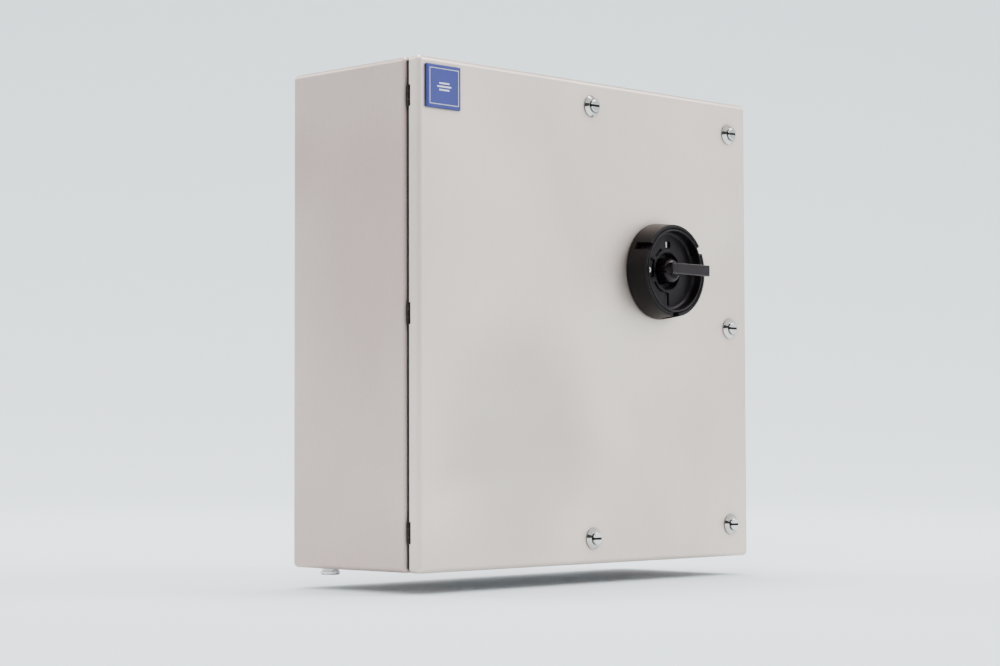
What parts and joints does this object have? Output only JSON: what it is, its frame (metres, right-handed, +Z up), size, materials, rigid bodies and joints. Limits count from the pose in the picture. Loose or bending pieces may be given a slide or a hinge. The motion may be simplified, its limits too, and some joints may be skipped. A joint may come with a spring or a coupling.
{
  "type": "fused disconnect switch",
  "caption": "Wall-mounted square steel enclosure with a left-hinged locking door, a padlockable rotary handle and a switch-fuse unit inside.",
  "frame": {"origin": "centre of the enclosure's back face, on the wall, midway between the four wall holes", "axes": "+Z up, the door and the handle face -Y, +X to the right seen from the front; +Y points into the wall"},
  "size_m": [0.4, 0.1875, 0.4067],
  "materials": {
    "stainless_body": "fine ground stainless sheet",
    "stainless_door": "fine ground stainless sheet",
    "stainless_small": "turned stainless",
    "hinge_black": "black passivated steel",
    "zinc_plated": "bright zinc plate",
    "galvanised": "galvanised sheet",
    "chromed_zinc": "polished chrome plate",
    "black_polyamide": "fine moulded grain",
    "dial_polyamide": "fine moulded grain",
    "grip_polyamide": "fine moulded grain",
    "white_ink": "printed mark",
    "grey_polycarbonate": "moulded",
    "clear_polycarbonate": "moulded, smoked",
    "base_thermoset": "moulded thermoset",
    "copper": "tinned copper",
    "brass": "turned brass",
    "fuse_ceramic": "matt steatite",
    "sealing_rubber": "matt",
    "foam_gasket": "foamed in place",
    "badge_blue": "printed film",
    "badge_dark": "moulded edge"
  },
  "bodies": {
    "root": {"enclosure_body": "stainless_body", "entry_gasket": "sealing_rubber", "entry_plate": "stainless_small", "entry_plate_screws": "zinc_plated", "plate_studs": "zinc_plated", "mounting_plate": "galvanised", "plate_nuts": "zinc_plated", "earth_screw": "stainless_small", "earth_nuts": "stainless_small", "earth_washer": "stainless_small", "earth_bar": "brass", "earth_bar_posts": "brass", "earth_bar_screws": "zinc_plated", "switch_base": "base_thermoset", "switch_base_screws": "zinc_plated", "mechanism_housing": "grey_polycarbonate", "line_terminals": "copper", "centre_contacts": "copper", "load_terminals": "copper", "terminal_screws": "zinc_plated", "terminal_washers": "zinc_plated", "cover_hinge_rod": "stainless_small", "hinge_body_leaves": "hinge_black", "hinge_pins": "hinge_black", "fuse_link_1": "fuse_ceramic", "fuse_link_2": "fuse_ceramic", "fuse_link_3": "fuse_ceramic"},
    "door": {"door_panel": "stainless_door", "door_gasket": "foam_gasket", "badge_base": "badge_dark", "badge_face": "badge_blue", "lock_housings": "chromed_zinc", "lock_seals": "sealing_rubber", "lock_nuts": "zinc_plated", "handle_gasket": "sealing_rubber", "handle_collar": "black_polyamide", "handle_dial": "dial_polyamide", "handle_marks": "white_ink", "handle_screws": "zinc_plated", "hinge_door_leaves": "hinge_black"},
    "handle": {"handle_knob": "grip_polyamide", "handle_coupler": "black_polyamide", "coupler_grub_screw": "zinc_plated"},
    "shaft": {"operating_shaft": "zinc_plated"},
    "rotor": {"contact_rotor": "black_polyamide", "rotor_blades": "copper"},
    "lock_top": {"lock_plug_top": "chromed_zinc", "lock_cam_top": "zinc_plated"},
    "lock_bottom": {"lock_plug_bottom": "chromed_zinc", "lock_cam_bottom": "zinc_plated"},
    "lock_upper": {"lock_plug_upper": "chromed_zinc", "lock_cam_upper": "zinc_plated"},
    "lock_middle": {"lock_plug_middle": "chromed_zinc", "lock_cam_middle": "zinc_plated"},
    "lock_lower": {"lock_plug_lower": "chromed_zinc", "lock_cam_lower": "zinc_plated"},
    "cover_1": {"fuse_cover_1": "clear_polycarbonate"},
    "cover_2": {"fuse_cover_2": "clear_polycarbonate"},
    "cover_3": {"fuse_cover_3": "clear_polycarbonate"}
  },
  "joints": [
    {"name": "door_swing", "type": "hinge", "parent": "root", "child": "door", "pos_m": [-0.1975, -0.1375, 0], "axis": [0, 0, -1], "range_deg": [0, 120]},
    {"name": "handle_turn", "type": "hinge", "parent": "door", "child": "handle", "pos_m": [0.08, -0.15, 0.0454], "axis": [0, 1, 0], "range_deg": [0, 90]},
    {"name": "shaft_turn", "type": "hinge", "parent": "root", "child": "shaft", "pos_m": [0.08, -0.1, 0.0454], "axis": [0, 1, 0], "range_deg": [0, 90]},
    {"name": "rotor_turn", "type": "hinge", "parent": "root", "child": "rotor", "pos_m": [-0.0175, -0.056, 0.082], "axis": [-1, 0, 0], "range_deg": [0, 60]},
    {"name": "lock_turn_top", "type": "hinge", "parent": "door", "child": "lock_top", "pos_m": [-0.003, -0.15, 0.179], "axis": [0, 1, 0], "range_deg": [0, 90]},
    {"name": "lock_turn_bottom", "type": "hinge", "parent": "door", "child": "lock_bottom", "pos_m": [-0.003, -0.15, -0.179], "axis": [0, 1, 0], "range_deg": [0, 90]},
    {"name": "lock_turn_upper", "type": "hinge", "parent": "door", "child": "lock_upper", "pos_m": [0.1755, -0.15, 0.172], "axis": [0, -1, 0], "range_deg": [0, 90]},
    {"name": "lock_turn_middle", "type": "hinge", "parent": "door", "child": "lock_middle", "pos_m": [0.1755, -0.15, 0], "axis": [0, 1, 0], "range_deg": [0, 90]},
    {"name": "lock_turn_lower", "type": "hinge", "parent": "door", "child": "lock_lower", "pos_m": [0.1755, -0.15, -0.172], "axis": [0, 1, 0], "range_deg": [0, 90]},
    {"name": "cover_swing_1", "type": "hinge", "parent": "root", "child": "cover_1", "pos_m": [-0.0635, -0.083, -0.012], "axis": [1, 0, 0], "range_deg": [0, 90]},
    {"name": "cover_swing_2", "type": "hinge", "parent": "root", "child": "cover_2", "pos_m": [-0.0175, -0.083, -0.012], "axis": [1, 0, 0], "range_deg": [0, 90]},
    {"name": "cover_swing_3", "type": "hinge", "parent": "root", "child": "cover_3", "pos_m": [0.0285, -0.083, -0.012], "axis": [1, 0, 0], "range_deg": [0, 90]}
  ],
  "couplings": [
    {"joint": "shaft_turn", "follows": "handle_turn", "ratio": 1},
    {"joint": "rotor_turn", "follows": "handle_turn", "ratio": 0.6666}
  ]
}
